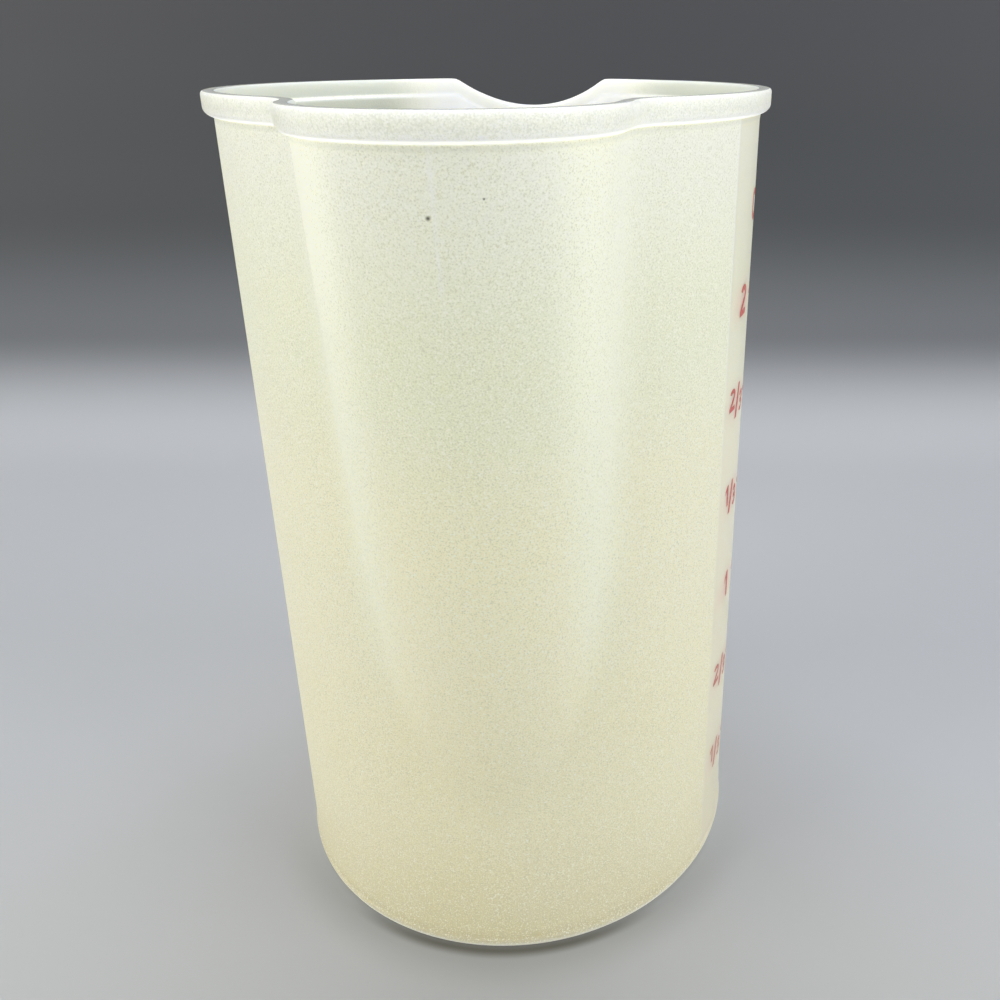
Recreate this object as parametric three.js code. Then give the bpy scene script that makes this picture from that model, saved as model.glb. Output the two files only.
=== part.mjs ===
// Measuring jug: a thin translucent moulded vessel and the scale that is printed on its wall.
// Millimetres, +Z up. The origin is where the vessel's axis meets the surface that it stands on.
// The lobe points along -Y, the pouring lip is behind it, and the scale is on the +X side.
import * as THREE from 'three';

// Vessel
const HEIGHT = 131.5;
const TOP_RADIUS = 40; // outside of the wall, under the rim
const BASE_RADIUS = 39.2; // outside of the wall, at the foot
const WALL = 1.3;
const FLOOR = 1.3;
const FLOOR_FILLET = 2.5; // between the floor and the inside of the wall

// Foot: a low bead round the bottom edge
const FOOT_HEIGHT = 2.2;
const FOOT_BEAD = 0.25; // how far it stands proud of the wall
const FOOT_EDGE = 1.8; // rounding under it

// Rim: a band that stands out from the wall, with a rounded underside and a ledge inside
const RIM_HEIGHT = 3.3;
const RIM_OVERHANG = 1.35;
const RIM_UNDERSIDE = 1.2; // height of the rounded underside
const RIM_ROUND = 0.6; // of its top edges
const LEDGE_DEPTH = 3; // below the top of the rim
const LEDGE_WIDTH = 0.5;

// Lobe: a round channel pushed out of the wall, widest at the rim and gone near the foot
const LOBE_RADIUS = 19;
const LOBE_REACH = 57.7; // from the axis to its nose, at the rim
const LOBE_START = 28; // height where its nose leaves the wall
const LOBE_FILLET = 11.5; // hollow rounding between the lobe and the wall

// Pouring lip: a dip in the rim, with the wall under it flared outwards
const LIP_ANGLE = THREE.MathUtils.degToRad(176);
const LIP_WIDTH = 27.5;
const LIP_DIP = 4.9;
const LIP_FLARE = 2.5;
const LIP_FLARE_WIDTH = 52;
const LIP_FLARE_HEIGHT = 11; // from where the flare starts up to the rim's top

// Scale: its lines part the volume below the highest one evenly, at these sizes in thirds of a 236.6 ml cup
const CUPS = 2;
const PARTS_OF_CUP = 3;
const TOP_LINE_DROP = 26.22; // from under the rim down to the highest line
const SCALE_ANGLE = THREE.MathUtils.degToRad(90);
const LINE_LENGTH = 16;
const LINE_THICKNESS = 0.7;
const FIGURE_HEIGHT = 4.7;
const FIGURE_WIDTH = 3.6; // of a round figure
const FIGURE_STROKE = 0.9;
const THIRD_HEIGHT = 3.6; // of the smaller figures of a third
const THIRD_STEP = 0.9; // how far those are raised or lowered from the middle
const FIGURE_GAP = 0.35; // between the figures of a third
const LABEL_GAP = 1.4; // between the widest label and the lines
const UNIT = 'CUPS';
const UNIT_GAP = 2.2; // between its letters
const UNIT_RISE = 13.4; // from the highest line to the middle of the unit
const ONE_FLAG = 0.2; // of the figure 1, as a share of its height
const SLASH_LEAN = 0.3; // as a share of its height
const OPEN_END = 25; // degrees from level at the end of an open bowl
const TWO_NECK = -40; // degrees from level where the figure 2 leaves its bowl
const INK_THICKNESS = 0.12;
const INK_CLEARANCE = 0.1; // between the ink and the wall's true round face

// Fineness of the faceted surface
const LOBE_STEPS = 32;
const WALL_STEPS = 40;
const LOBE_HALF_ANGLE = THREE.MathUtils.degToRad(60);
const LOBE_LEVELS = 7;
const LOBE_CROWDING = 1.5; // draws the levels towards the lobe's start
const LIP_LEVELS = 4;
const ROUND_STEPS = 3;
const ARC_STEPS = 6;
const LINE_STEPS = 8;
const VOLUME_SLICES = 200;

const plastic = new THREE.MeshStandardMaterial({ color: 0xdedcc4, roughness: 0.45, metalness: 0 });
const ink = new THREE.MeshStandardMaterial({ color: 0xc4483f, roughness: 0.6, metalness: 0 });

const rimBottom = HEIGHT - RIM_HEIGHT;
const flareStart = HEIGHT - LIP_FLARE_HEIGHT;

// Plan of the vessel. Angles go round from the lobe towards the scale.

function wallRadius(height) {
  return THREE.MathUtils.mapLinear(height, 0, rimBottom, BASE_RADIUS, TOP_RADIUS);
}

function lobeNose(height) {
  return THREE.MathUtils.mapLinear(height, LOBE_START, HEIGHT, wallRadius(LOBE_START), LOBE_REACH);
}

// Where a ray from the axis crosses a circle that is centred at a distance and an angle from it.
function rayToCircle(turn, distance, radius, side) {
  const across = distance * Math.sin(turn);
  return distance * Math.cos(turn) + side * Math.sqrt(Math.max(radius * radius - across * across, 0));
}

// Distance from the axis to the outside of the wall and lobe, moved outwards by offset.
function planRadius(angle, height, offset) {
  const wall = wallRadius(height) + offset;
  const lobe = LOBE_RADIUS + offset;
  const fillet = LOBE_FILLET - offset;
  const centre = lobeNose(height) - LOBE_RADIUS;
  if (height <= LOBE_START || centre + lobe <= wall) return wall;
  const turn = Math.abs(angle);
  const toWall = wall + fillet;
  const toLobe = lobe + fillet;
  const cosine = (toWall ** 2 + centre ** 2 - toLobe ** 2) / (2 * toWall * centre);
  const filletTurn = Math.acos(THREE.MathUtils.clamp(cosine, -1, 1));
  if (turn >= filletTurn) return wall;
  const share = lobe / toLobe;
  const meetAlong = THREE.MathUtils.lerp(centre, toWall * Math.cos(filletTurn), share);
  const meetAcross = toWall * Math.sin(filletTurn) * share;
  if (turn <= Math.atan2(meetAcross, meetAlong)) return rayToCircle(turn, centre, lobe, 1);
  return rayToCircle(filletTurn - turn, toWall, fillet, -1);
}

// How far round from the middle of the lip an angle lies, as a length on the wall.
function fromLip(angle) {
  const turn = THREE.MathUtils.euclideanModulo(angle - LIP_ANGLE + Math.PI, 2 * Math.PI) - Math.PI;
  return turn * TOP_RADIUS;
}

function lipDip(angle) {
  const share = fromLip(angle) / (LIP_WIDTH / 2);
  return LIP_DIP * Math.max(1 - share * share, 0);
}

// The share of the lip's dip and flare that the wall takes up at a height.
function lipShare(height) {
  return THREE.MathUtils.clamp((height - flareStart) / (rimBottom - flareStart), 0, 1);
}

function lipFlare(angle, height) {
  const share = fromLip(angle) / (LIP_FLARE_WIDTH / 2);
  const round = Math.max(1 - share * share, 0);
  return LIP_FLARE * round ** 1.5 * lipShare(height) ** 2;
}

function vesselPoint(angle, height, offset) {
  const radius = planRadius(angle, height, offset) + lipFlare(angle, height);
  const level = height - lipDip(angle) * lipShare(height);
  return new THREE.Vector3(radius * Math.sin(angle), -radius * Math.cos(angle), level);
}

// Angles round the vessel, closer together over the lobe.
function ringAngles() {
  const angles = [];
  for (let i = 0; i < LOBE_STEPS; i += 1) {
    angles.push(THREE.MathUtils.lerp(-LOBE_HALF_ANGLE, LOBE_HALF_ANGLE, i / LOBE_STEPS));
  }
  for (let i = 0; i < WALL_STEPS; i += 1) {
    angles.push(THREE.MathUtils.lerp(LOBE_HALF_ANGLE, 2 * Math.PI - LOBE_HALF_ANGLE, i / WALL_STEPS));
  }
  return angles.map((angle) => (angle > Math.PI ? angle - 2 * Math.PI : angle));
}

// Heights of the rings on the wall, from the lobe's start up to the rim.
function wallHeights() {
  const heights = [];
  for (let i = 0; i < LOBE_LEVELS; i += 1) {
    heights.push(THREE.MathUtils.lerp(LOBE_START, flareStart, (i / LOBE_LEVELS) ** LOBE_CROWDING));
  }
  for (let i = 0; i <= LIP_LEVELS; i += 1) {
    heights.push(THREE.MathUtils.lerp(flareStart, rimBottom, i / LIP_LEVELS));
  }
  return heights;
}

// The vessel's section, as height and offset from the wall's outside, from under the foot to the floor.
function vesselSection() {
  const section = [];
  for (let i = 0; i <= ROUND_STEPS; i += 1) {
    const turn = (i / ROUND_STEPS) * (Math.PI / 2);
    section.push([FOOT_EDGE * (1 - Math.cos(turn)), FOOT_BEAD - FOOT_EDGE * (1 - Math.sin(turn))]);
  }
  section.push([FOOT_HEIGHT - FOOT_BEAD, FOOT_BEAD], [FOOT_HEIGHT, 0]);
  const heights = wallHeights();
  heights.forEach((height) => section.push([height, 0]));
  for (let i = 1; i <= ROUND_STEPS; i += 1) {
    const turn = (i / ROUND_STEPS) * (Math.PI / 2);
    section.push([rimBottom + RIM_UNDERSIDE * (1 - Math.cos(turn)), RIM_OVERHANG * Math.sin(turn)]);
  }
  const rimInside = LEDGE_WIDTH - WALL;
  section.push([HEIGHT - RIM_ROUND, RIM_OVERHANG], [HEIGHT, RIM_OVERHANG - RIM_ROUND]);
  section.push([HEIGHT, rimInside + RIM_ROUND], [HEIGHT - RIM_ROUND, rimInside]);
  section.push([HEIGHT - LEDGE_DEPTH + LEDGE_WIDTH, rimInside], [HEIGHT - LEDGE_DEPTH, -WALL]);
  heights.slice(0, -1).reverse().forEach((height) => section.push([height, -WALL]));
  for (let i = 0; i <= ROUND_STEPS; i += 1) {
    const turn = (i / ROUND_STEPS) * (Math.PI / 2);
    section.push([FLOOR + FLOOR_FILLET * (1 - Math.sin(turn)), -WALL - FLOOR_FILLET * (1 - Math.cos(turn))]);
  }
  return section;
}

function makeVessel() {
  const angles = ringAngles();
  const rings = vesselSection().map(([height, offset]) => angles.map((a) => vesselPoint(a, height, offset)));
  const points = rings.flat();
  const under = points.push(new THREE.Vector3(0, 0, 0)) - 1;
  const inside = points.push(new THREE.Vector3(0, 0, FLOOR)) - 1;
  const faces = [];
  const count = angles.length;
  const last = (rings.length - 1) * count;
  for (let i = 0; i < count; i += 1) {
    const next = (i + 1) % count;
    faces.push(under, next, i, inside, last + i, last + next);
    for (let base = 0; base < last; base += count) {
      faces.push(base + i, base + next, base + count + next);
      faces.push(base + i, base + count + next, base + count + i);
    }
  }
  const geometry = new THREE.BufferGeometry().setFromPoints(points);
  geometry.setIndex(faces);
  geometry.computeVertexNormals();
  return geometry;
}

// Area inside the wall at a height.
function insideArea(height) {
  const angles = ringAngles();
  const radii = angles.map((angle) => planRadius(angle, height, -WALL));
  return angles.reduce((sum, angle, i) => {
    const next = (i + 1) % angles.length;
    return sum + radii[i] * radii[next] * Math.sin(angles[next] - angle) / 2;
  }, 0);
}

// Heights that part the volume between the floor and a top height into equal shares, lowest first.
function evenLevels(top, shares) {
  const step = (top - FLOOR) / VOLUME_SLICES;
  const held = [0];
  for (let i = 0; i < VOLUME_SLICES; i += 1) {
    held.push(held[i] + insideArea(FLOOR + (i + 0.5) * step) * step);
  }
  const levels = [];
  for (let share = 1; share <= shares; share += 1) {
    const volume = held[VOLUME_SLICES] * (share / shares);
    const slice = held.findIndex((each) => each >= volume);
    const within = THREE.MathUtils.inverseLerp(held[slice - 1], held[slice], volume);
    levels.push(FLOOR + (slice - 1 + within) * step);
  }
  return levels;
}

// Characters of the scale, drawn in units of their height.

const stroke = FIGURE_STROKE / FIGURE_HEIGHT;
const half = FIGURE_WIDTH / FIGURE_HEIGHT / 2; // half the width of a round character
const bowl = (1 + stroke) / 4; // half the height of one of two bowls that share a stroke
const upper = 1 - bowl; // middle of the upper bowl

function polygon(...corners) {
  return new THREE.Shape(corners.map(([x, y]) => new THREE.Vector2(x, y)));
}

// Part of a bowl round a height, on its outer edge or one stroke inside it, in degrees.
function bowlArc(path, y, inset, from, to) {
  const ends = [from, to].map(THREE.MathUtils.degToRad);
  path.absellipse(half, y, half - inset, bowl - inset, ...ends, to < from);
}

const characters = {
  '1': () => polygon(
    [ONE_FLAG, 0],
    [ONE_FLAG + stroke, 0],
    [ONE_FLAG + stroke, 1],
    [ONE_FLAG, 1],
    [0, 1 - ONE_FLAG],
    [0, 1 - ONE_FLAG - stroke],
    [ONE_FLAG, 1 - stroke],
  ),
  '/': () => polygon([0, 0], [stroke, 0], [SLASH_LEAN + stroke, 1], [SLASH_LEAN, 1]),
  '2': () => {
    const shape = new THREE.Shape();
    bowlArc(shape, upper, 0, 180 - OPEN_END, TWO_NECK);
    shape.lineTo(1.5 * stroke, stroke);
    shape.lineTo(2 * half, stroke);
    shape.lineTo(2 * half, 0);
    shape.lineTo(0, 0);
    shape.lineTo(0, stroke);
    bowlArc(shape, upper, stroke, TWO_NECK, 180 - OPEN_END);
    return shape;
  },
  '3': () => {
    const shape = new THREE.Shape();
    const waist = THREE.MathUtils.radToDeg(Math.asin((upper - bowl) / 2 / bowl));
    bowlArc(shape, upper, 0, 180 - OPEN_END, -waist);
    bowlArc(shape, bowl, 0, waist, OPEN_END - 180);
    bowlArc(shape, bowl, stroke, OPEN_END - 180, 90);
    shape.lineTo(half - stroke, 2 * bowl - stroke);
    shape.lineTo(half - stroke, 2 * bowl);
    bowlArc(shape, upper, stroke, -90, 180 - OPEN_END);
    return shape;
  },
  C: () => {
    const shape = new THREE.Shape();
    bowlArc(shape, upper, 0, OPEN_END, 180);
    bowlArc(shape, bowl, 0, 180, 360 - OPEN_END);
    bowlArc(shape, bowl, stroke, 360 - OPEN_END, 180);
    bowlArc(shape, upper, stroke, 180, OPEN_END);
    return shape;
  },
  U: () => {
    const shape = polygon([2 * half, 1], [2 * half - stroke, 1]);
    bowlArc(shape, bowl, stroke, 360, 180);
    shape.lineTo(stroke, 1);
    shape.lineTo(0, 1);
    bowlArc(shape, bowl, 0, 180, 360);
    return shape;
  },
  P: () => {
    const shape = polygon([0, 1], [0, 0], [stroke, 0], [stroke, upper - bowl]);
    bowlArc(shape, upper, 0, -90, 90);
    const hole = new THREE.Path([new THREE.Vector2(stroke, upper - bowl + stroke)]);
    bowlArc(hole, upper, stroke, -90, 90);
    hole.lineTo(stroke, 1 - stroke);
    shape.holes.push(hole);
    return shape;
  },
  S: () => {
    const shape = new THREE.Shape();
    bowlArc(shape, upper, 0, OPEN_END, 270);
    bowlArc(shape, bowl, stroke, 90, OPEN_END - 180);
    bowlArc(shape, bowl, 0, OPEN_END - 180, 90);
    bowlArc(shape, upper, stroke, 270, OPEN_END);
    return shape;
  },
};

// A character of a height, with its left edge and its middle height at zero.
function makeCharacter(character, height) {
  const geometry = new THREE.ExtrudeGeometry(characters[character](), {
    depth: INK_THICKNESS,
    bevelEnabled: false,
    curveSegments: ARC_STEPS,
  });
  geometry.deleteAttribute('uv');
  geometry.scale(height, height, 1);
  geometry.computeBoundingBox();
  geometry.translate(-geometry.boundingBox.min.x, -height / 2, 0);
  geometry.computeBoundingBox();
  return geometry;
}

// Sets characters in a row that is centred on x.
function setInRow(solids, gap, x) {
  const widths = solids.map((solid) => solid.boundingBox.max.x);
  const width = widths.reduce((sum, each) => sum + each, (solids.length - 1) * gap);
  let left = x - width / 2;
  solids.forEach((solid, i) => {
    solid.translate(left, 0, 0);
    left += widths[i] + gap;
  });
  return width;
}

// A third of a cup: a raised figure, a slash and a lowered figure.
function makeThird(numerator, x) {
  const raised = makeCharacter(`${numerator}`, THIRD_HEIGHT).translate(0, THIRD_STEP, 0);
  const slash = makeCharacter('/', THIRD_HEIGHT + 2 * THIRD_STEP);
  const lowered = makeCharacter(`${PARTS_OF_CUP}`, THIRD_HEIGHT).translate(0, -THIRD_STEP, 0);
  const solids = { numerator: raised, slash, denominator: lowered };
  const width = setInRow(Object.values(solids), FIGURE_GAP, x);
  return { solids, width };
}

function makeWhole(cups, x) {
  const solids = { whole: makeCharacter(`${cups}`, FIGURE_HEIGHT) };
  const width = setInRow(Object.values(solids), FIGURE_GAP, x);
  return { solids, width };
}

// Lays a flat solid on the wall: x runs round from the middle of the scale, y is height and z is thickness.
function wrapOnWall(geometry) {
  const place = geometry.attributes.position;
  for (let i = 0; i < place.count; i += 1) {
    const angle = SCALE_ANGLE + place.getX(i) / TOP_RADIUS;
    const height = place.getY(i);
    const radius = wallRadius(height) + INK_CLEARANCE + place.getZ(i);
    place.setXYZ(i, radius * Math.sin(angle), -radius * Math.cos(angle), height);
  }
  geometry.computeVertexNormals();
  geometry.computeBoundingBox();
  return geometry;
}

function printed(name, geometry, height) {
  const mesh = new THREE.Mesh(wrapOnWall(geometry.translate(0, height, 0)), ink);
  mesh.name = name;
  return mesh;
}

// A line at a height, with its label beside it.
function makeMark(number, height, labelMiddle) {
  const line = new THREE.BoxGeometry(LINE_LENGTH, LINE_THICKNESS, INK_THICKNESS, LINE_STEPS);
  line.translate(0, 0, INK_THICKNESS / 2);
  const rest = number % PARTS_OF_CUP;
  const label = rest ? makeThird(rest, labelMiddle) : makeWhole(number / PARTS_OF_CUP, labelMiddle);
  return [
    printed(`mark_${number}_line`, line, height),
    ...Object.entries(label.solids).map(([name, solid]) => printed(`mark_${number}_${name}`, solid, height)),
  ];
}

function makeScale() {
  const scale = new THREE.Group();
  const topLine = rimBottom - TOP_LINE_DROP;
  const widest = makeThird(PARTS_OF_CUP - 1, 0).width;
  const labelMiddle = -LINE_LENGTH / 2 - LABEL_GAP - widest / 2;
  evenLevels(topLine, CUPS * PARTS_OF_CUP).forEach((height, i) => {
    scale.add(...makeMark(i + 1, height, labelMiddle));
  });
  const letters = [...UNIT].map((letter) => makeCharacter(letter, FIGURE_HEIGHT));
  setInRow(letters, UNIT_GAP, 0);
  scale.add(...letters.map((solid, i) => printed(`unit_letter_${i + 1}`, solid, topLine + UNIT_RISE)));
  return scale;
}

const vessel = new THREE.Mesh(makeVessel(), plastic);
vessel.name = 'vessel';

const jug = new THREE.Group();
jug.add(vessel, makeScale());

export default jug;
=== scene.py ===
import math
from types import SimpleNamespace

import bmesh
import bpy
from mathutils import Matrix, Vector


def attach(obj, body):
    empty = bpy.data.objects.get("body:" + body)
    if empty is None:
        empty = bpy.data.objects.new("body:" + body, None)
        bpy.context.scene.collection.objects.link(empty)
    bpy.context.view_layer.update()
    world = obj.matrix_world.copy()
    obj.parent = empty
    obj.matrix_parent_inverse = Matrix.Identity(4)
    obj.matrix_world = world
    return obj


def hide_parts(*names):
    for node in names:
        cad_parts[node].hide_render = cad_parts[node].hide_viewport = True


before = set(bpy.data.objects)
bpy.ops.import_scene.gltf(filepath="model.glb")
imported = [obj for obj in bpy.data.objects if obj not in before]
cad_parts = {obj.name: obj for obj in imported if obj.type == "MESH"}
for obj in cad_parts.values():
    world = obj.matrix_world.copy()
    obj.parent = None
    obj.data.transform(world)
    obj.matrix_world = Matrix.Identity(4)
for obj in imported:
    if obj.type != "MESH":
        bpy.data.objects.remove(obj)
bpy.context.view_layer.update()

MM = 0.001

# Vessel
HEIGHT = 131.5
TOP_RADIUS = 40
BASE_RADIUS = 39.2
WALL = 1.3
FLOOR = 1.3
FLOOR_FILLET = 2.5

# Foot
FOOT_HEIGHT = 2.2
FOOT_BEAD = 0.25
FOOT_EDGE = 1.8
FOOT_TOP = FOOT_HEIGHT + 4 * FOOT_BEAD

# Rim
RIM_HEIGHT = 3.3
RIM_OVERHANG = 1.35
RIM_UNDERSIDE = 1.2
RIM_ROUND = 0.6
LEDGE_DEPTH = 3
LEDGE_WIDTH = 0.5
UNDERSIDE_EASE = 0.15
LEDGE_TOP_EASE = 0.2
LEDGE_FOOT_EASE = 0.3
RIM_BOTTOM = HEIGHT - RIM_HEIGHT
RIM_INSIDE = LEDGE_WIDTH - WALL
LEDGE_FOOT = HEIGHT - LEDGE_DEPTH

# Lobe
LOBE_RADIUS = 19
LOBE_REACH = 57.7
LOBE_START = 28
LOBE_FILLET = 11.5

# Pouring lip
LIP_ANGLE = math.radians(176)
LIP_WIDTH = 27.5
LIP_DIP = 4.9
LIP_EASE = 0.06
LIP_FLARE = 2.5
LIP_FLARE_WIDTH = 52
LIP_FLARE_HEIGHT = 11
FLARE_SIDE_POWER = 1.5
FLARE_RISE_POWER = 2
FLARE_START = HEIGHT - LIP_FLARE_HEIGHT

# Fine relief of the moulding
SEAM_ANGLE = math.radians(-0.6)
SEAM_WIDTH = 0.3
SEAM_RISE = 0.06
SEAM_FOOT = 104
SEAM_FADE = 14
PANEL_REACH = 20.4
PANEL_EDGE = 0.3
PANEL_DEPTH = 0.12
PANEL_FOOT = 7

# Printed scale
CUPS = 2
PARTS_OF_CUP = 3
TOP_LINE_DROP = 26.22
SCALE_ANGLE = math.radians(90)
LINE_LENGTH = 16
LINE_THICKNESS = 0.7
FIGURE_HEIGHT = 4.7
FIGURE_WIDTH = 3.6
FIGURE_STROKE = 0.9
THIRD_HEIGHT = 3.6
THIRD_STEP = 0.9
FIGURE_GAP = 0.35
LABEL_GAP = 1.4
UNIT = "CUPS"
UNIT_GAP = 2.2
UNIT_RISE = 13.4
ONE_FLAG = 0.2
SLASH_LEAN = 0.3
OPEN_END = 25
TWO_NECK = -40
TWO_HEEL = 1.5
FILM_THICKNESS = 0.03
FILM_SINK = 0.01
TOP_LINE = RIM_BOTTOM - TOP_LINE_DROP

# Fineness of the surfaces
RING_STEPS = 360
WALL_STEP = 2
EASE_STEPS = 8
UNDERSIDE_STEPS = 8
FLOOR_RINGS = 4
FLAT_RING = 4
SECTION_GAP = 1
LEDGE_RUN = 2
SHARP_ANGLE = math.radians(40)
ARC_STEPS = 14
FILM_STEP = 0.5
CUT_TOLERANCE = 1e-5
MERGE_DISTANCE = 1e-4
AREA_STEPS = 144
VOLUME_SLICES = 200

# Sizes of the grain and the wear
GRAIN_SIZE = 0.22
MOTTLE_SIZE = 0.9
PATCH_SIZE = 30
INK_WEAR_SIZE = 0.6

# Where the finish of the plastic, its painted shade and its painted highlights change, as (where a change
# starts, where it is full)
OUTSIDE_TURN = (-8, 8)
WALL_END = (RIM_BOTTOM - 0.2, RIM_BOTTOM)
RIM_START = (RIM_BOTTOM - 0.1, RIM_BOTTOM + 0.2)
RIM_TOP_SLOPE = (0.9, 0.99)
RIM_INSIDE_START = (LEDGE_FOOT - 0.5, LEDGE_FOOT)
INSIDE_GREYING = (70, 120)
PANEL_HIGHLIGHT_SHOWS = (60, 110)
LOBE_FRONT = (-20, -30)
LEFT_OF_NOSE = (5, -5)
FOLD_RISE = (40, 75)
FOLD_GLOW_RISE = (75, 110)
LEFT_GLOW_RISE = (102, 118)
FLARE_SIDES = (0.58 * LIP_FLARE_WIDTH, 0.3 * LIP_FLARE_WIDTH)
FLARE_RISE = (118, 126)

# Lines and bands of painted shade, painted shadow and painted highlights, and the ink's bleed, as (middle,
# half width)
FOOT_SHADE_BAND = (FOOT_HEIGHT, FOOT_HEIGHT)
FOOT_HIGHLIGHT_LINE = (0.3 * FOOT_EDGE, 0.8 * FOOT_EDGE)
UNDER_RIM_SHADOW_LINE = (RIM_BOTTOM - 0.5, 0.5)
RIM_LINE = (RIM_BOTTOM + 0.15, 0.4)
UNDERSIDE_LINE = (RIM_BOTTOM + 0.7, 0.9)
LEDGE_HIGHLIGHT_LINE = (LEDGE_FOOT + LEDGE_WIDTH / 2, 0.5)
PANEL_HIGHLIGHT_LINE = (PANEL_REACH + PANEL_EDGE, 0.5)
SEAM_HIGHLIGHT_LINE = (0, 0.5)
FOLD_HIGHLIGHT_BAND = (15.6, 6)
BLEED_WIDTH = 8

# Levels of the noises between which a change shows
AGED_PATCHES = (0.35, 0.7)
MOTTLE_SPOTS = (0.5, 0.8)
GRAIN_DIPS = (0.5, 0.75)
GRAIN_TOPS = (0.5, 0.25)
RIM_MOTTLE_SPOTS = (0.48, 0.7)
RIM_GRAIN_DIPS = (0.5, 0.7)
RIM_GRAIN_TOPS = (0.5, 0.3)
GRAIN_MIDDLE = 0.5
INK_WORN_SPOTS = (0.45, 0.75)

# Colours of the plastic, those of its wall as (height where one starts, height where it is full, colour)
FOOT_PLASTIC = (0.73, 0.65, 0.41, 1)
PLASTIC_UPWARDS = (
    (0, 30, (0.885, 0.785, 0.507, 1)),
    (25, 75, (0.975, 0.848, 0.575, 1)),
    (72, 100, (0.828, 0.838, 0.608, 1)),
    (100, 136, (0.915, 0.915, 0.775, 1)),
)
RIM_PLASTIC = (0.87, 0.875, 0.765, 1)
# Painted highlight on the rim's underside, palest at its lower edge
RIM_UNDERSIDE_HIGHLIGHT = (0.95, 0.96, 0.93, 1)
# Painted shade inside the jug: its greys and their shares
RIM_INSIDE_SHADE = (0.66, 0.69, 0.655, 1)
INSIDE_SHADE = (0.57, 0.6, 0.56, 1)
INSIDE_LOW_SHARE = 0.25
INSIDE_HIGH_SHARE = 0.65

# Tints over the plastic, among them painted shade, painted shadow and painted highlights, as (greatest
# share, colour)
# Painted shade over the foot bead
PAINTED_FOOT_SHADE = (0.6, (0.6, 0.53, 0.33, 1))
# Painted highlight along the foot's edge
FOOT_HIGHLIGHT = (0.8, (0.97, 0.94, 0.74, 1))
AGED_PLASTIC = (0.2, (0.85, 0.81, 0.62, 1))
# Painted highlight: a pale streak down each fold beside the lobe
FOLD_HIGHLIGHT = (0.62, (0.99, 0.985, 0.68, 1))
MOTTLE_SHADE = (0.1, (0.62, 0.61, 0.46, 1))
GRAIN_SHADE = (0.72, (0.62, 0.61, 0.46, 1))
GRAIN_LIGHT = (0.95, (0.97, 0.955, 0.8, 1))
# Darker, browner tint over the sunk panel
PANEL_DARKENING = (0.45, (0.75, 0.69, 0.57, 1))
# Painted highlight along the panel's edges
PANEL_EDGE_HIGHLIGHT = (0.4, (0.97, 0.98, 0.9, 1))
# Painted highlight along the seam
SEAM_HIGHLIGHT = (0.25, (0.97, 0.98, 0.9, 1))
BLED_INK = (0.6, (0.85, 0.5, 0.43, 1))
# Painted highlight on the lip's flare, inside and out
LIP_HIGHLIGHT = (0.9, (0.99, 0.975, 0.87, 1))
SPECK = (1, (0.06, 0.06, 0.05, 1))
# Painted shadow in a band under the rim
PAINTED_UNDER_RIM_SHADOW = (0.35, (0.6, 0.62, 0.56, 1))
RIM_MOTTLE = (0.5, (0.7, 0.71, 0.62, 1))
RIM_SHADE = (0.7, (0.7, 0.71, 0.62, 1))
RIM_LIGHT = (0.95, (0.98, 0.97, 0.88, 1))

# Dark specks on the lobe, as (angle, height, size)
SPECKS = ((math.radians(-1.27), 120.9, 0.42), (math.radians(4.61), 122.8, 0.2))

# Painted glow: emission that stands in for highlights on the rim's lower line and underside, the ledge, the
# lip, the foot edge and the folds, as shares of the full glow
GLOW_COLOUR = (1, 1, 0.95, 1)
NO_GLOW = (0, 0, 0, 1)
RIM_LINE_GLOW = 0.42
UNDERSIDE_GLOW = 0.08
LEDGE_GLOW = 0.22
LIP_GLOW = 0.1
FOOT_GLOW = 0.22
FOLD_GLOW = 0.05
LEFT_FOLD_GLOW = 0.055

# Gloss and fine relief of the plastic
PLASTIC_ROUGHNESS = 0.5
PANEL_POLISH = 0.14
RIM_POLISH = 0.16
RIM_TOP_POLISH = 0.22
GRAIN_ROUGHNESS = 0.08
GRAIN_BUMP = 0.3
GRAIN_DEPTH = 0.2
PANEL_TINT_LOSS = 0.6
PANEL_RELIEF_LOSS = 0.7
RIM_RELIEF_LOSS = 0.6

# Ink, its tints as (greatest share, colour)
INK = (0.55, 0.11, 0.095, 1)
WORN_INK = (0.6, (0.8, 0.42, 0.34, 1))
BROWNED_INK = (0.6, (0.58, 0.36, 0.25, 1))
INK_BROWNING = (60, 15)
INK_ROUGHNESS = 0.55
INK_WEAR_POLISH = 0.1

# Stage, its backdrop as (height where a colour starts, height where it is full, colour)
STAGE_FRONT = -1500
STAGE_BACK = 300
STAGE_COVE = 150
STAGE_TOP = 1500
STAGE_SIDE = 2500
COVE_STEPS = 24
STAGE_ROUGHNESS = 0.6
NEAR_FLOOR = (0.395, 0.4, 0.405, 1)
FAR_FLOOR = (0.44, 0.45, 0.475, 1)
FLOOR_CHANGE = (-60, 20)
# Painted contact shadow on the floor round the jug's foot, strongest at the front
PAINTED_CONTACT_SHADOW = (0.08, 0.075, 0.055, 1)
SOFT_SHADE_SHARE = 0.25
SOFT_SHADE_BAND = (0, 9)
SOFT_SHADE_SIDE = (-5, -BASE_RADIUS)
FRONT_SHADE_SHARE = 0.65
FRONT_SHADE_BAND = (0.4, 1.8)
FRONT_SHADE_SIDE = (-29, -BASE_RADIUS)
BACKDROP_UPWARDS = (
    (0, 26, (0.115, 0.12, 0.13, 1)),
    (20, 70, (0.039, 0.042, 0.046, 1)),
    (95, 160, (0.06, 0.06, 0.066, 1)),
    (170, 420, (0.75, 0.76, 0.78, 1)),
)

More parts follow.
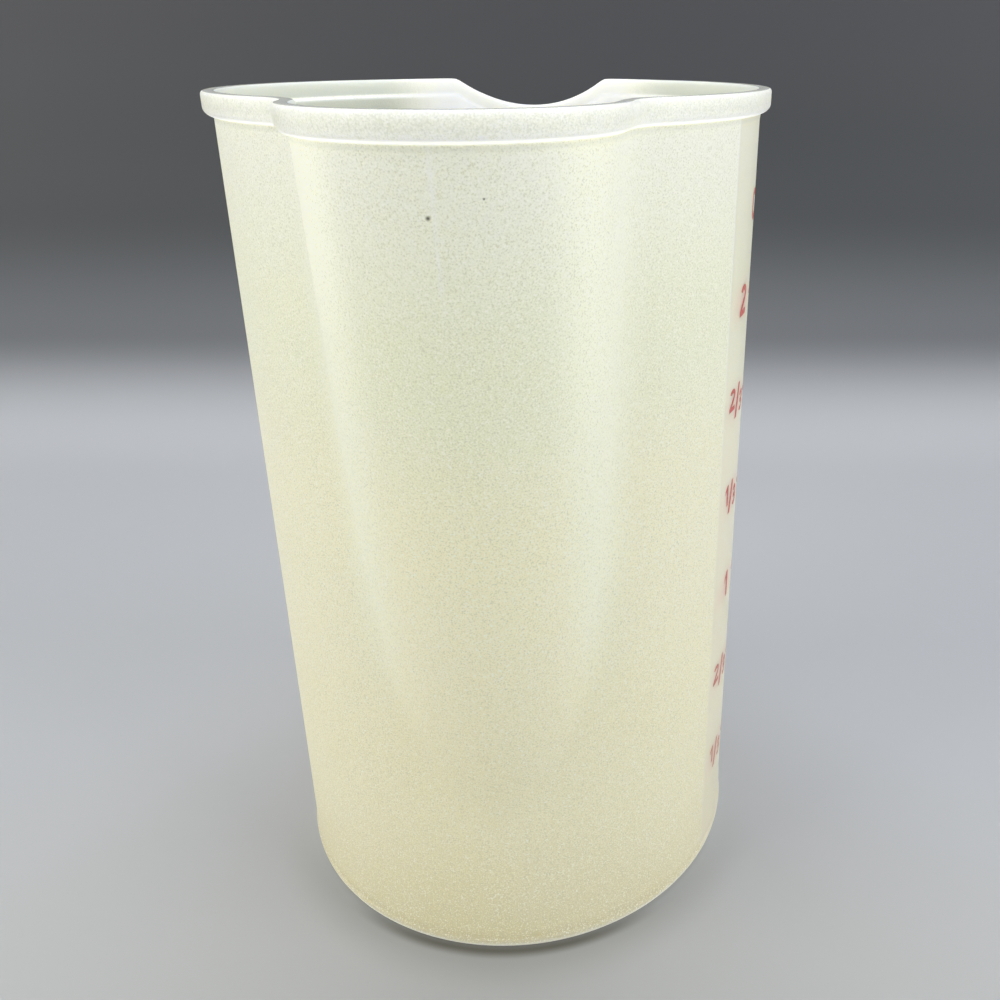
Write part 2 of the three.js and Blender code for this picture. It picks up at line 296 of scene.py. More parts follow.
# Lights, as (name, place, width, height, watts, colour)
LIGHT_TARGET = (0, 0, 70)
LIGHTS = (
    ("overhead", (0, 300, 1000), 600, 600, 7, (1, 1, 1)),
    ("left_box", (-850, -350, 450), 600, 800, 4.95, (1, 0.96, 0.86)),
    ("right_box", (850, -350, 450), 600, 800, 4.7, (1, 1, 1)),
)
WORLD_COLOUR = (0.9, 0.95, 1.0, 1)
WORLD_STRENGTH = 0.67

# Camera, fitted to the outline, the rim curves and the scale
IMAGE_SIZE = 1000
FOCAL_PIXELS = 959.1
CAMERA_PLACE = (16.33, -153.47, 136.93)
CAMERA_PITCH = 0.379
OPTICAL_CENTRE = (602.2, 429.4)
SENSOR = 36
NEAREST_VIEW = 10


def between(low, high, share):
    return low + (high - low) * share


def clamp(value, low, high):
    return max(low, min(high, value))


# Plan of the vessel. Angles go round from the lobe towards the scale.


def wall_radius(height):
    return between(BASE_RADIUS, TOP_RADIUS, height / RIM_BOTTOM)


def lobe_nose(height):
    return between(wall_radius(LOBE_START), LOBE_REACH, (height - LOBE_START) / (HEIGHT - LOBE_START))


def ray_to_circle(turn, distance, radius, side):
    across = distance * math.sin(turn)
    return distance * math.cos(turn) + side * math.sqrt(max(radius * radius - across * across, 0))


def plan_radius(angle, height, offset):
    wall = wall_radius(height) + offset
    lobe = LOBE_RADIUS + offset
    fillet = LOBE_FILLET - offset
    centre = lobe_nose(height) - LOBE_RADIUS
    if height <= LOBE_START or centre + lobe <= wall:
        return wall
    turn = abs(angle)
    to_wall = wall + fillet
    to_lobe = lobe + fillet
    cosine = (to_wall**2 + centre**2 - to_lobe**2) / (2 * to_wall * centre)
    fillet_turn = math.acos(clamp(cosine, -1, 1))
    if turn >= fillet_turn:
        return wall
    share = lobe / to_lobe
    meet_along = between(centre, to_wall * math.cos(fillet_turn), share)
    meet_across = to_wall * math.sin(fillet_turn) * share
    if turn <= math.atan2(meet_across, meet_along):
        return ray_to_circle(turn, centre, lobe, 1)
    return ray_to_circle(fillet_turn - turn, to_wall, fillet, -1)


def from_lip(angle):
    turn = (angle - LIP_ANGLE + math.pi) % (2 * math.pi) - math.pi
    return turn * TOP_RADIUS


def lip_dip(angle):
    share = from_lip(angle) / (LIP_WIDTH / 2)
    depth = 1 - share * share
    return LIP_DIP * (depth + math.hypot(depth, LIP_EASE)) / 2


def lip_share(height):
    return clamp((height - FLARE_START) / (RIM_BOTTOM - FLARE_START), 0, 1)


def lip_flare(angle, height):
    share = from_lip(angle) / (LIP_FLARE_WIDTH / 2)
    sides = max(1 - share * share, 0) ** FLARE_SIDE_POWER
    return LIP_FLARE * sides * lip_share(height) ** FLARE_RISE_POWER


def vessel_point(angle, height, offset):
    radius = plan_radius(angle, height, offset) + lip_flare(angle, height)
    level = height - lip_dip(angle) * lip_share(height)
    return (radius * math.sin(angle), -radius * math.cos(angle), level)


# Relief of the outside: a seam line up the lobe's nose, and a smooth panel sunk round the scale.


def seam_rise(angle, height):
    across = abs(angle - SEAM_ANGLE) * plan_radius(0, height, 0)
    sides = clamp(1 - across / SEAM_WIDTH, 0, 1)
    foot = clamp((height - SEAM_FOOT) / SEAM_FADE, 0, 1)
    return SEAM_RISE * sides * foot


def panel_sink(angle, height):
    along = abs(angle - SCALE_ANGLE) * TOP_RADIUS
    sides = clamp((PANEL_REACH + PANEL_EDGE - along) / (2 * PANEL_EDGE), 0, 1)
    foot = clamp((height - PANEL_FOOT) / PANEL_EDGE, 0, 1)
    return PANEL_DEPTH * sides * foot


def relief(angle, height):
    return seam_rise(angle, height) - panel_sink(angle, height)


# Ring of angles, with extra ones along the seam and the panel's sides.
def ring_angles():
    angles = [math.tau * i / RING_STEPS - math.pi for i in range(RING_STEPS)]
    angles += [SEAM_ANGLE + side * SEAM_WIDTH / LOBE_REACH for side in (-1, -0.5, 0, 0.5, 1)]
    for side in (-1, 1):
        for edge in (-PANEL_EDGE, PANEL_EDGE):
            angles.append(SCALE_ANGLE + side * (PANEL_REACH + edge) / TOP_RADIUS)
    return sorted(angles)


# Corners of a section with each one eased over a length, as (height, offset, ease).
def eased(corners):
    points = []
    for i, (height, offset, ease) in enumerate(corners):
        corner = Vector((height, offset))
        if not ease:
            points.append(corner)
            continue
        before = Vector(corners[i - 1][:2])
        after = Vector(corners[i + 1][:2])
        start = corner + (before - corner).normalized() * ease
        end = corner + (after - corner).normalized() * ease
        for step in range(EASE_STEPS + 1):
            share = step / EASE_STEPS
            points.append(start.lerp(corner, share).lerp(corner.lerp(end, share), share))
    return points


def foot_section():
    return eased([
        (0, FOOT_BEAD - FOOT_EDGE - FLAT_RING, 0),
        (0, FOOT_BEAD, FOOT_EDGE),
        (FOOT_HEIGHT - FOOT_BEAD, FOOT_BEAD, FOOT_BEAD / 2),
        (FOOT_HEIGHT + FOOT_BEAD, 0, FOOT_BEAD),
        (FOOT_TOP, 0, 0),
    ])


def wall_heights():
    low = FOOT_TOP + SECTION_GAP
    high = RIM_BOTTOM - SECTION_GAP
    count = round((RIM_BOTTOM - FOOT_HEIGHT) / WALL_STEP)
    return [between(low, high, i / count) for i in range(count + 1)]


# From above the last height of the wall, over the rim and down past the ledge inside.
def rim_section():
    underside = []
    for i in range(UNDERSIDE_STEPS):
        turn = math.radians(90 * (i + 1) / UNDERSIDE_STEPS)
        up = RIM_UNDERSIDE * (1 - math.cos(turn))
        underside.append((RIM_BOTTOM + up, RIM_OVERHANG * math.sin(turn), 0))
    section = eased([
        (RIM_BOTTOM - SECTION_GAP, 0, 0),
        (RIM_BOTTOM, 0, UNDERSIDE_EASE),
        *underside,
        (HEIGHT, RIM_OVERHANG, RIM_ROUND),
        (HEIGHT, RIM_INSIDE, RIM_ROUND),
        (LEDGE_FOOT + LEDGE_WIDTH, RIM_INSIDE, LEDGE_TOP_EASE),
        (LEDGE_FOOT, -WALL, LEDGE_FOOT_EASE),
        (LEDGE_FOOT - LEDGE_RUN, -WALL, 0),
    ])
    return section[1:]


# Down the inside of the wall and through the fillet to the floor.
def inner_section():
    top = LEDGE_FOOT - LEDGE_RUN - SECTION_GAP
    corner_top = FLOOR + FLOOR_FILLET + SECTION_GAP
    lowest = corner_top + SECTION_GAP / 2
    wall = [(height, -WALL) for height in reversed(wall_heights()) if lowest < height < top]
    floor = eased([
        (corner_top, -WALL, 0),
        (FLOOR, -WALL, FLOOR_FILLET),
        (FLOOR, -WALL - FLOOR_FILLET - FLAT_RING, 0),
    ])
    return wall + floor


# Section of the moulding from under its foot to its floor, as (height, offset, whether relief shows there).
def moulding_section():
    return (
        [(height, offset, False) for height, offset in foot_section()]
        + [(height, 0, True) for height in wall_heights()]
        + [(height, offset, False) for height, offset in rim_section() + inner_section()]
    )


def new_piece(name, mesh, nodes, finish):
    piece = bpy.data.objects.new(name, mesh)
    bpy.context.scene.collection.objects.link(piece)
    mesh.materials.append(finish)
    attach(piece, "root")
    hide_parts(*nodes)


# Faces of the band between two rings of points.
def band(first, second):
    count = len(first)
    faces = []
    for i in range(count):
        following = (i + 1) % count
        faces.append((first[i], first[following], second[following], second[i]))
    return faces


# Faces that close a ring with a flat disc, whose points are added to the others.
def disc(points, edge, height):
    count = len(edge)
    faces = []
    for step in range(1, FLOOR_RINGS):
        share = 1 - step / FLOOR_RINGS
        start = len(points)
        points += [(points[i][0] * share, points[i][1] * share, height) for i in edge]
        inner = list(range(start, start + count))
        faces += band(edge, inner)
        edge = inner
    centre = len(points)
    points.append((0, 0, height))
    faces += [(edge[i], edge[(i + 1) % count], centre) for i in range(count)]
    return faces


def make_moulding(finish):
    angles = ring_angles()
    points = []
    rings = []
    for height, offset, shows_relief in moulding_section():
        rings.append(list(range(len(points), len(points) + len(angles))))
        for angle in angles:
            raised = relief(angle, height) if shows_relief else 0
            points.append(vessel_point(angle, height, offset + raised))
    faces = []
    for lower, upper in zip(rings, rings[1:]):
        faces += band(lower, upper)
    faces += disc(points, rings[-1], FLOOR)
    faces += [face[::-1] for face in disc(points, rings[0], 0)]
    mesh = bpy.data.meshes.new("jug_moulding")
    mesh.from_pydata([Vector(point) * MM for point in points], [], faces)
    mesh.shade_smooth()
    mesh.set_sharp_from_angle(angle=SHARP_ANGLE)
    new_piece("jug_moulding", mesh, ["vessel"], finish)


# Heights of the scale's lines, which part the volume below the highest one evenly.


def inside_area(height):
    radii = [plan_radius(math.tau * i / AREA_STEPS - math.pi, height, -WALL) for i in range(AREA_STEPS)]
    wedge = math.sin(math.tau / AREA_STEPS) / 2
    return sum(radii[i] * radii[i - 1] * wedge for i in range(AREA_STEPS))


def even_levels():
    step = (TOP_LINE - FLOOR) / VOLUME_SLICES
    held = [0]
    for i in range(VOLUME_SLICES):
        held.append(held[i] + inside_area(FLOOR + (i + 0.5) * step) * step)
    shares = CUPS * PARTS_OF_CUP
    levels = []
    for share in range(1, shares + 1):
        volume = held[-1] * (share / shares)
        above = next(i for i, each in enumerate(held) if each >= volume)
        within = (volume - held[above - 1]) / (held[above] - held[above - 1])
        levels.append(FLOOR + (above - 1 + within) * step)
    return levels


# Characters of the scale, drawn in units of their height as one outline and its holes.

STROKE = FIGURE_STROKE / FIGURE_HEIGHT
HALF = FIGURE_WIDTH / FIGURE_HEIGHT / 2
BOWL = (1 + STROKE) / 4
UPPER = 1 - BOWL


def bowl_arc(middle, inset, start, end):
    points = []
    for i in range(ARC_STEPS + 1):
        turn = math.radians(between(start, end, i / ARC_STEPS))
        points.append((HALF + (HALF - inset) * math.cos(turn), middle + (BOWL - inset) * math.sin(turn)))
    return points


def figure_one():
    return [[
        (ONE_FLAG, 0),
        (ONE_FLAG + STROKE, 0),
        (ONE_FLAG + STROKE, 1),
        (ONE_FLAG, 1),
        (0, 1 - ONE_FLAG),
        (0, 1 - ONE_FLAG - STROKE),
        (ONE_FLAG, 1 - STROKE),
    ]]


def figure_two():
    top = bowl_arc(UPPER, 0, 180 - OPEN_END, TWO_NECK)
    foot = [(TWO_HEEL * STROKE, STROKE), (2 * HALF, STROKE), (2 * HALF, 0), (0, 0), (0, STROKE)]
    return [top + foot + bowl_arc(UPPER, STROKE, TWO_NECK, 180 - OPEN_END)]


def figure_three():
    waist = math.degrees(math.asin((UPPER - BOWL) / 2 / BOWL))
    outside = bowl_arc(UPPER, 0, 180 - OPEN_END, -waist) + bowl_arc(BOWL, 0, waist, OPEN_END - 180)[1:]
    lower = bowl_arc(BOWL, STROKE, OPEN_END - 180, 90)
    middle = [(HALF - STROKE, 2 * BOWL - STROKE), (HALF - STROKE, 2 * BOWL)]
    return [outside + lower + middle + bowl_arc(UPPER, STROKE, -90, 180 - OPEN_END)]


def slash():
    return [[(0, 0), (STROKE, 0), (SLASH_LEAN + STROKE, 1), (SLASH_LEAN, 1)]]


def letter_c():
    outside = bowl_arc(UPPER, 0, OPEN_END, 180) + bowl_arc(BOWL, 0, 180, 360 - OPEN_END)
    inside = bowl_arc(BOWL, STROKE, 360 - OPEN_END, 180) + bowl_arc(UPPER, STROKE, 180, OPEN_END)
    return [outside + inside]


def letter_u():
    inside = [(2 * HALF, 1), (2 * HALF - STROKE, 1)] + bowl_arc(BOWL, STROKE, 360, 180)
    return [inside + [(STROKE, 1), (0, 1)] + bowl_arc(BOWL, 0, 180, 360)]


def letter_p():
    stem = [(0, 1), (0, 0), (STROKE, 0), (STROKE, UPPER - BOWL)]
    hole = [(STROKE, UPPER - BOWL + STROKE)] + bowl_arc(UPPER, STROKE, -90, 90) + [(STROKE, 1 - STROKE)]
    return [stem + bowl_arc(UPPER, 0, -90, 90), hole]


def letter_s():
    outside = bowl_arc(UPPER, 0, OPEN_END, 270) + bowl_arc(BOWL, STROKE, 90, OPEN_END - 180)[1:]
    return [outside + bowl_arc(BOWL, 0, OPEN_END - 180, 90) + bowl_arc(UPPER, STROKE, 270, OPEN_END)[1:]]


OUTLINES = {
    "1": figure_one,
    "2": figure_two,
    "3": figure_three,
    "/": slash,
    "C": letter_c,
    "U": letter_u,
    "P": letter_p,
    "S": letter_s,
}


# A character of a height, with its left edge and its middle height at zero, and its width.
def sized_outline(character, height):
    loops = OUTLINES[character]()
    left = min(x for x, _ in loops[0])
    loops = [[((x - left) * height, (y - 0.5) * height) for x, y in loop] for loop in loops]
    return loops, max(x for x, _ in loops[0])


def moved(loops, across, up):
    return [[(x + across, y + up) for x, y in loop] for loop in loops]


# Characters set in a row that is centred on a place, as (character, height, how far raised).
def set_in_row(characters, gap, middle):
    sized = [sized_outline(character, height) for character, height, _ in characters]
    width = sum(each for _, each in sized) + gap * (len(sized) - 1)
    left = middle - width / 2
    row = []
    for (loops, each), (_, _, raised) in zip(sized, characters):
        row.append(moved(loops, left, raised))
        left += each + gap
    return row, width


def third_row(numerator, middle):
    characters = [
        (str(numerator), THIRD_HEIGHT, THIRD_STEP),
        ("/", THIRD_HEIGHT + 2 * THIRD_STEP, 0),
        (str(PARTS_OF_CUP), THIRD_HEIGHT, -THIRD_STEP),
    ]
    return set_in_row(characters, FIGURE_GAP, middle)


def label_middle():
    return -LINE_LENGTH / 2 - LABEL_GAP - third_row(PARTS_OF_CUP - 1, 0)[1] / 2


# A flat film of ink with an outline and holes, cut into narrow strips.
def flat_film(loops):
    flat = bmesh.new()
    edges = []
    for loop in loops:
        corners = [flat.verts.new((x, y, 0)) for x, y in loop]
        edges += [flat.edges.new((corners[i - 1], corners[i])) for i in range(len(corners))]
    bmesh.ops.triangle_fill(flat, use_beauty=True, use_dissolve=False, edges=edges, normal=(0, 0, 1))
    places = [x for x, _ in loops[0]]
    cut = math.ceil(min(places) / FILM_STEP) * FILM_STEP
    while cut < max(places):
        whole = flat.verts[:] + flat.edges[:] + flat.faces[:]
        bmesh.ops.bisect_plane(
            flat, geom=whole, dist=CUT_TOLERANCE, plane_co=(cut, 0, 0), plane_no=(1, 0, 0)
        )
        cut += FILM_STEP
    bmesh.ops.remove_doubles(flat, verts=flat.verts[:], dist=MERGE_DISTANCE)
    top = bmesh.ops.extrude_face_region(flat, geom=flat.faces[:])["geom"]
    for vert in [each for each in top if isinstance(each, bmesh.types.BMVert)]:
        vert.co.z = FILM_THICKNESS
    bmesh.ops.recalc_face_normals(flat, faces=flat.faces[:])
    return flat


# A film of ink laid on the wall, with its middle at a height.
def print_film(name, node, loops, height, finish):
    film = flat_film(loops)
    for vert in film.verts:
        angle = SCALE_ANGLE + vert.co.x / TOP_RADIUS
        level = height + vert.co.y
        radius = wall_radius(level) - panel_sink(angle, level) - FILM_SINK + vert.co.z
        vert.co = Vector((radius * math.sin(angle), -radius * math.cos(angle), level)) * MM
    mesh = bpy.data.meshes.new(name)
    film.to_mesh(mesh)
    film.free()
    new_piece(name, mesh, [node], finish)


def make_scale(finish):
    half_length = LINE_LENGTH / 2
    half_thickness = LINE_THICKNESS / 2
    line = [[
        (-half_length, -half_thickness),
        (half_length, -half_thickness),
        (half_length, half_thickness),
        (-half_length, half_thickness),
    ]]
    for number, height in enumerate(even_levels(), start=1):
        print_film(f"ink_line_{number}", f"mark_{number}_line", line, height, finish)
        rest = number % PARTS_OF_CUP
        if rest:
            row, _ = third_row(rest, label_middle())
            parts = ("numerator", "slash", "denominator")
        else:
            row, _ = set_in_row([(str(number // PARTS_OF_CUP), FIGURE_HEIGHT, 0)], 0, label_middle())
            parts = ("whole",)
        for part, loops in zip(parts, row):
            print_film(f"ink_{part}_{number}", f"mark_{number}_{part}", loops, height, finish)
    row, _ = set_in_row([(letter, FIGURE_HEIGHT, 0) for letter in UNIT], UNIT_GAP, 0)
    for number, loops in enumerate(row, start=1):
        print_film(f"ink_letter_{number}", f"unit_letter_{number}", loops, TOP_LINE + UNIT_RISE, finish)


# Materials. Arithmetic on a wire adds Math nodes.


class Wire:
    def __init__(self, finish, socket):
        self.finish = finish
        self.socket = socket

    def other(self, name):
        return Wire(self.finish, self.socket.node.outputs[name])

    def maths(self, operation, *values):
        return self.finish.node("ShaderNodeMath", {"operation": operation}, dict(enumerate(values)))

    def __add__(self, value):
        return self.maths("ADD", self, value)

    def __radd__(self, value):
        return self.maths("ADD", value, self)

    def __sub__(self, value):
        return self.maths("SUBTRACT", self, value)

    def __rsub__(self, value):
        return self.maths("SUBTRACT", value, self)

    def __mul__(self, value):
        return self.maths("MULTIPLY", self, value)

    def __rmul__(self, value):
        return self.maths("MULTIPLY", value, self)

    def __abs__(self):
        return self.maths("ABSOLUTE", self)


class Finish:
    def __init__(self, name):
        self.material = bpy.data.materials.new(name)
        self.material.use_nodes = True
        self.tree = self.material.node_tree
        self.tree.nodes.clear()

    def node(self, kind, settings, inputs, output=0):
        made = self.tree.nodes.new(kind)
        for name, value in settings.items():
            setattr(made, name, value)
        for name, value in inputs.items():
            if isinstance(value, Wire):
                self.tree.links.new(value.socket, made.inputs[name])
            else:
                made.inputs[name].default_value = value
        return Wire(self, made.outputs[output]) if made.outputs else None

    def show(self, shader):
        self.node("ShaderNodeOutputMaterial", {}, {"Surface": shader})
        return self.material


# A smooth change from 0 where a value is low to 1 where it is high.
def rise(value, low, high):
    settings = {"interpolation_type": "SMOOTHSTEP"}
    inputs = {"Value": value, "From Min": low, "From Max": high}
    return value.finish.node("ShaderNodeMapRange", settings, inputs)


# How near a value is to a middle, from 1 there to 0 at a distance.
def near(value, middle, distance):
    return 1 - rise(abs(value - middle), 0, distance)


def turn_of(across, along):
    return across.maths("ARCTAN2", across, along)


def distance_of(across, along):
    return across.maths("SQRT", across * across + along * along)


def blend(share, first, second):
    settings = {"data_type": "RGBA"}
    return share.finish.node("ShaderNodeMix", settings, {0: share, 6: first, 7: second}, output=2)


# A colour with a tint over it where a mask shows, the tint given as (greatest share, colour).
def tinted(colour, mask, tint):
    share, tint_colour = tint
    return blend(mask * share, colour, tint_colour)


def noise(place, size, detail):
    inputs = {"Vector": place, "Scale": 1 / size, "Detail": detail}
    return place.finish.node("ShaderNodeTexNoise", {}, inputs)


def vector_maths(operation, first, second, output):
    settings = {"operation": operation}
    return first.finish.node("ShaderNodeVectorMath", settings, {0: first, 1: second}, output)


def millimetres(finish):
    place = finish.node("ShaderNodeTexCoord", {}, {}, output="Object")
    return vector_maths("MULTIPLY", place, (1 / MM, 1 / MM, 1 / MM), "Vector")


# Where a point of the moulding lies: places in millimetres, and masks from 0 to 1.
def places_on_moulding(finish):
    at = SimpleNamespace(place=millimetres(finish))
    at.x = finish.node("ShaderNodeSeparateXYZ", {}, {0: at.place})
    at.y = at.x.other("Y")
    at.z = at.x.other("Z")
    at.angle = turn_of(at.x, at.y * -1)
    lip_along = at.x * math.sin(LIP_ANGLE) - at.y * math.cos(LIP_ANGLE)
    lip_across = at.x * math.cos(LIP_ANGLE) + at.y * math.sin(LIP_ANGLE)
    beside_lip = turn_of(lip_across, lip_along) * TOP_RADIUS
    dip_share = beside_lip * (2 / LIP_WIDTH)
    at.level = at.z + LIP_DIP * dip_share.maths("MAXIMUM", 1 - dip_share * dip_share, 0)

    normal = finish.node("ShaderNodeNewGeometry", {}, {}, output="Normal")
    outwards = vector_maths("MULTIPLY", at.place, (1, 1, 0), "Vector")
    upwards = finish.node("ShaderNodeSeparateXYZ", {}, {0: normal}, output="Z")
    at.outside = rise(vector_maths("DOT_PRODUCT", normal, outwards, "Value"), *OUTSIDE_TURN)
    at.inside = 1 - at.outside
    at.wall = at.outside * (1 - rise(at.level, *WALL_END))
    at.rim = rise(at.level, *RIM_START)
    at.rim_top = at.rim * rise(upwards, *RIM_TOP_SLOPE)
    # Painted highlight along the foot's edge
    at.foot_line = at.outside * near(at.z, *FOOT_HIGHLIGHT_LINE)

    from_scale = abs(at.angle - SCALE_ANGLE) * TOP_RADIUS
    at.panel = at.wall * rise(from_scale, PANEL_REACH + PANEL_EDGE, PANEL_REACH - PANEL_EDGE)
    # Painted highlight along the panel's edges
    at.panel_edge = at.wall * near(from_scale, *PANEL_HIGHLIGHT_LINE) * rise(at.z, *PANEL_HIGHLIGHT_SHOWS)
    from_seam = (at.angle - SEAM_ANGLE) * LOBE_REACH
    # Painted highlight along the seam
    at.seam = at.wall * near(from_seam, *SEAM_HIGHLIGHT_LINE) * rise(at.z, SEAM_FOOT, SEAM_FOOT + SEAM_FADE)
    # Painted highlight: a pale streak down each fold beside the lobe
    on_lobe = rise(at.y, *LOBE_FRONT) * rise(at.z, *FOLD_RISE)
    at.fold = at.wall * near(abs(at.x), *FOLD_HIGHLIGHT_BAND) * on_lobe
    # Painted highlight on the lip's flare
    at.flare = rise(abs(beside_lip), *FLARE_SIDES) * rise(at.level, *FLARE_RISE)
    # Painted highlight along the ledge inside
    at.ledge = at.inside * near(at.level, *LEDGE_HIGHLIGHT_LINE) * (1 - at.flare)

    at.grain = noise(at.place, GRAIN_SIZE, 1)
    at.mottle = noise(at.place, MOTTLE_SIZE, 2)
    at.patches = noise(at.place, PATCH_SIZE, 2)
    return at


# Where the ink has bled a little into the plastic round each label.
def ink_bleed(at):
    beside = near((at.angle - SCALE_ANGLE) * TOP_RADIUS, label_middle(), BLEED_WIDTH)
    rows = [near(at.z, level, FIGURE_HEIGHT) for level in even_levels()]
    return sum(rows[1:], rows[0]) * beside * at.wall


def wall_colour(at):
    colour = FOOT_PLASTIC
    for low, high, plastic in PLASTIC_UPWARDS:
        colour = blend(rise(at.z, low, high), colour, plastic)
    matt = 1 - PANEL_TINT_LOSS * at.panel
    # Painted shade over the foot bead
    colour = tinted(colour, near(at.z, *FOOT_SHADE_BAND), PAINTED_FOOT_SHADE)
    colour = tinted(colour, rise(at.patches, *AGED_PATCHES), AGED_PLASTIC)
    # Painted highlight down the folds
    colour = tinted(colour, at.fold, FOLD_HIGHLIGHT)
    colour = tinted(colour, rise(at.mottle, *MOTTLE_SPOTS) * matt, MOTTLE_SHADE)
    colour = tinted(colour, rise(at.grain, *GRAIN_DIPS) * matt, GRAIN_SHADE)
    colour = tinted(colour, rise(at.grain, *GRAIN_TOPS) * matt, GRAIN_LIGHT)
    # Darker, browner over the sunk panel
    colour = tinted(colour, at.panel, PANEL_DARKENING)
    # Painted highlight along the panel's edges
    colour = tinted(colour, at.panel_edge, PANEL_EDGE_HIGHLIGHT)
    # Painted highlight along the seam
    colour = tinted(colour, at.seam, SEAM_HIGHLIGHT)
    colour = tinted(colour, ink_bleed(at), BLED_INK)
    # Painted highlight on the lip's flare
    colour = tinted(colour, at.flare, LIP_HIGHLIGHT)
    for turn, height, size in SPECKS:
        from_speck = distance_of((at.angle - turn) * LOBE_REACH, at.z - height)
        colour = tinted(colour, near(from_speck, 0, size) * at.outside, SPECK)
    # Painted shadow in a band under the rim
    return tinted(colour, near(at.level, *UNDER_RIM_SHADOW_LINE) * at.outside, PAINTED_UNDER_RIM_SHADOW)


def rim_colour(at):
    # Painted highlight: the rim's underside paler towards its lower edge
    colour = blend(rise(at.level, RIM_BOTTOM, RIM_BOTTOM + RIM_UNDERSIDE), RIM_UNDERSIDE_HIGHLIGHT, RIM_PLASTIC)
    colour = tinted(colour, rise(at.mottle, *RIM_MOTTLE_SPOTS), RIM_MOTTLE)
    colour = tinted(colour, rise(at.grain, *RIM_GRAIN_DIPS), RIM_SHADE)
    colour = tinted(colour, rise(at.grain, *RIM_GRAIN_TOPS), RIM_LIGHT)
    # Painted highlight on the inside of the lip's flare
    return tinted(colour, at.flare * at.inside, LIP_HIGHLIGHT)


# Painted shade inside: the inside is greyer and darker than the outside, most of all high up, except at the
# painted highlights of the ledge and the lip.
def inside_tint(at, colour):
    grey = blend(rise(at.level, *RIM_INSIDE_START), INSIDE_SHADE, RIM_INSIDE_SHADE)
    share = INSIDE_LOW_SHARE + INSIDE_HIGH_SHARE * rise(at.level, *INSIDE_GREYING)
    return blend(at.inside * share * (1 - at.flare) * (1 - at.ledge), colour, grey)


# Painted glow: emission for the highlights on thin edges and folds, though the plastic is no lamp
def carried_light(at):
    rim = near(at.level, *RIM_LINE) * RIM_LINE_GLOW + near(at.level, *UNDERSIDE_LINE) * UNDERSIDE_GLOW
    left_top = rise(at.x, *LEFT_OF_NOSE) * rise(at.z, *LEFT_GLOW_RISE)
    fold = FOLD_GLOW * rise(at.z, *FOLD_GLOW_RISE) + LEFT_FOLD_GLOW * left_top
    share = at.outside * rim + at.ledge * LEDGE_GLOW + at.flare * at.inside * LIP_GLOW
    share = share + at.foot_line * FOOT_GLOW + at.fold * fold
    return blend(share, NO_GLOW, GLOW_COLOUR)


def moulded_plastic():
    finish = Finish("translucent_plastic")
    at = places_on_moulding(finish)
    # Painted shade inside the jug over the rim and wall colours
    colour = inside_tint(at, blend(at.rim, wall_colour(at), rim_colour(at)))
    grain_height = at.grain * (1 - PANEL_RELIEF_LOSS * at.panel) * (1 - RIM_RELIEF_LOSS * at.rim)
    bump = {"Strength": GRAIN_BUMP, "Distance": GRAIN_DEPTH * MM, "Height": grain_height}
    polish = PANEL_POLISH * at.panel + RIM_POLISH * at.rim + RIM_TOP_POLISH * at.rim_top
    return finish.show(finish.node(
        "ShaderNodeBsdfPrincipled",
        {"subsurface_method": "RANDOM_WALK"},
        {
            # Painted highlight along the foot's edge over the colour
            "Base Color": tinted(colour, at.foot_line, FOOT_HIGHLIGHT),
            "Roughness": PLASTIC_ROUGHNESS - polish + GRAIN_ROUGHNESS * (at.grain - GRAIN_MIDDLE),
            "Normal": finish.node("ShaderNodeBump", {}, bump),
            # Painted glow for the highlights on thin edges and folds
            "Emission Color": carried_light(at),
            "Emission Strength": 1.0,
            "IOR": 1.49,
            "Subsurface Weight": 1.0,
            "Subsurface Radius": (1.0, 0.96, 0.75),
            "Subsurface Scale": 4 * MM,
        },
    ))


def printed_ink():
    finish = Finish("red_ink")
    place = millimetres(finish)
    z = finish.node("ShaderNodeSeparateXYZ", {}, {0: place}, output="Z")
    wear = noise(place, INK_WEAR_SIZE, 3)
    colour = tinted(INK, rise(wear, *INK_WORN_SPOTS), WORN_INK)
    colour = tinted(colour, rise(z, *INK_BROWNING), BROWNED_INK)
    inputs = {"Base Color": colour, "Roughness": INK_ROUGHNESS - INK_WEAR_POLISH * wear}
    return finish.show(finish.node("ShaderNodeBsdfPrincipled", {}, inputs))


# Stage: a pale floor, with a painted contact shadow round the jug's foot, that sweeps up into a plain
# backdrop, darker behind the jug and pale higher up.


def stage_finish():
    finish = Finish("grey_sweep")
    x = finish.node("ShaderNodeSeparateXYZ", {}, {0: millimetres(finish)})
    y = x.other("Y")
    z = x.other("Z")
    away = distance_of(x, y) - BASE_RADIUS
    # Painted contact shadow round the jug's foot: a soft band, and a darker line at the front
    soft_shade = near(away, *SOFT_SHADE_BAND) * rise(y, *SOFT_SHADE_SIDE) * SOFT_SHADE_SHARE
    front_shade = near(away, *FRONT_SHADE_BAND) * rise(y, *FRONT_SHADE_SIDE) * FRONT_SHADE_SHARE
    colour = blend(rise(y, *FLOOR_CHANGE), NEAR_FLOOR, FAR_FLOOR)
    colour = blend(soft_shade + front_shade, colour, PAINTED_CONTACT_SHADOW)
    for low, high, grey in BACKDROP_UPWARDS:
        colour = blend(rise(z, low, high), colour, grey)
    inputs = {"Base Color": colour, "Roughness": STAGE_ROUGHNESS}
    return finish.show(finish.node("ShaderNodeBsdfPrincipled", {}, inputs))


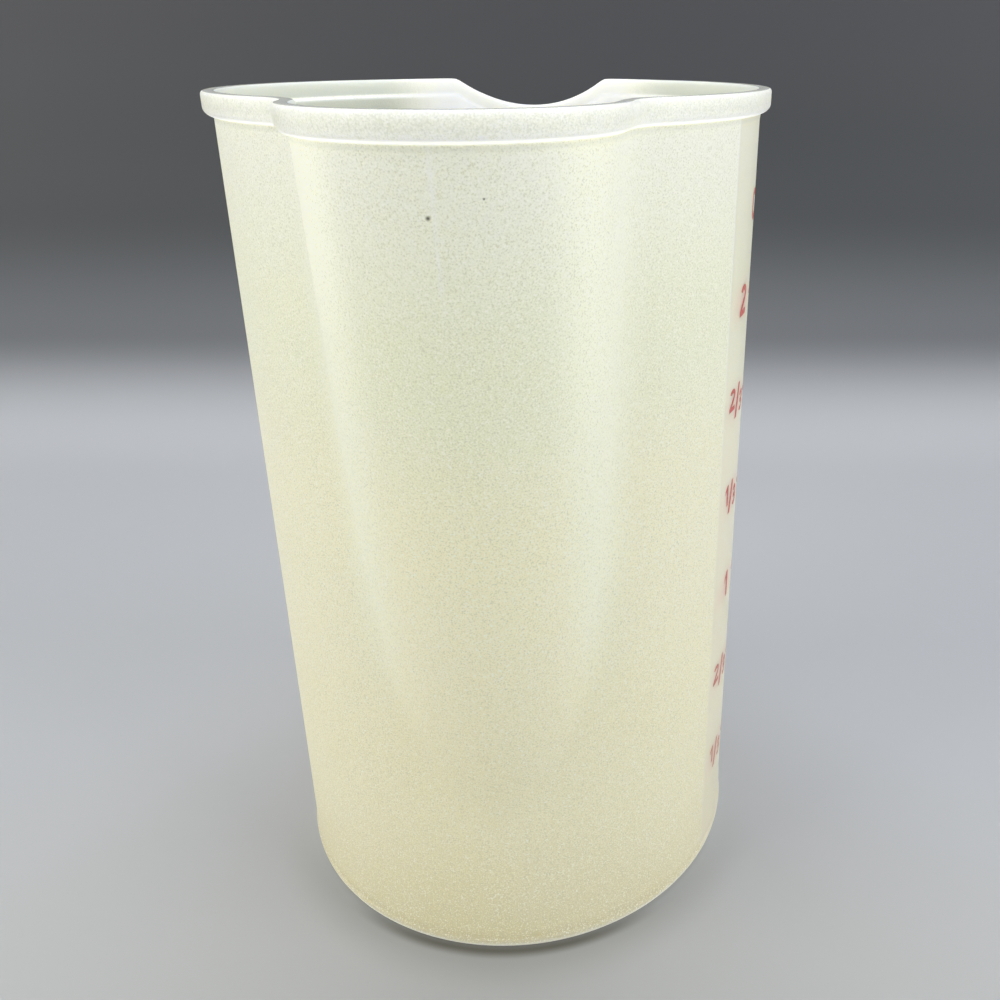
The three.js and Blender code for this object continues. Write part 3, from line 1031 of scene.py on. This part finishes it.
def make_stage():
    cove_start = STAGE_BACK - STAGE_COVE
    profile = [(STAGE_FRONT, 0), (cove_start, 0)]
    for i in range(1, COVE_STEPS + 1):
        turn = math.radians(90 * i / COVE_STEPS)
        profile.append((cove_start + STAGE_COVE * math.sin(turn), STAGE_COVE * (1 - math.cos(turn))))
    profile.append((STAGE_BACK, STAGE_TOP))
    points = [Vector((x, y, z)) * MM for y, z in profile for x in (-STAGE_SIDE, STAGE_SIDE)]
    faces = [(2 * i, 2 * i + 1, 2 * i + 3, 2 * i + 2) for i in range(len(profile) - 1)]
    mesh = bpy.data.meshes.new("sweep")
    mesh.from_pydata(points, [], faces)
    mesh.shade_smooth()
    mesh.materials.append(stage_finish())
    sweep = bpy.data.objects.new("sweep", mesh)
    bpy.context.scene.collection.objects.link(sweep)


def make_light(name, place, width, height, watts, colour):
    light = bpy.data.lights.new(name, "AREA")
    light.color = colour
    light.shape = "RECTANGLE"
    light.size = width * MM
    light.size_y = height * MM
    light.energy = watts
    lamp = bpy.data.objects.new(name, light)
    lamp.location = Vector(place) * MM
    lamp.rotation_euler = (Vector(LIGHT_TARGET) - Vector(place)).to_track_quat("-Z", "Y").to_euler()
    bpy.context.scene.collection.objects.link(lamp)


def make_world():
    world = bpy.data.worlds.new("studio")
    world.use_nodes = True
    background = world.node_tree.nodes["Background"]
    background.inputs["Color"].default_value = WORLD_COLOUR
    background.inputs["Strength"].default_value = WORLD_STRENGTH
    bpy.context.scene.world = world


def make_camera():
    lens = bpy.data.cameras.new("camera")
    lens.sensor_width = SENSOR
    lens.lens = FOCAL_PIXELS / IMAGE_SIZE * SENSOR
    lens.shift_x = 0.5 - OPTICAL_CENTRE[0] / IMAGE_SIZE
    lens.shift_y = OPTICAL_CENTRE[1] / IMAGE_SIZE - 0.5
    lens.clip_start = NEAREST_VIEW * MM
    camera = bpy.data.objects.new("camera", lens)
    camera.location = Vector(CAMERA_PLACE) * MM
    camera.rotation_euler = (math.pi / 2 - CAMERA_PITCH, 0, 0)
    bpy.context.scene.collection.objects.link(camera)
    bpy.context.scene.camera = camera


make_camera()
make_moulding(moulded_plastic())
make_scale(printed_ink())
make_stage()
for light_facts in LIGHTS:
    make_light(*light_facts)
make_world()
bpy.context.scene.view_settings.view_transform = "Standard"
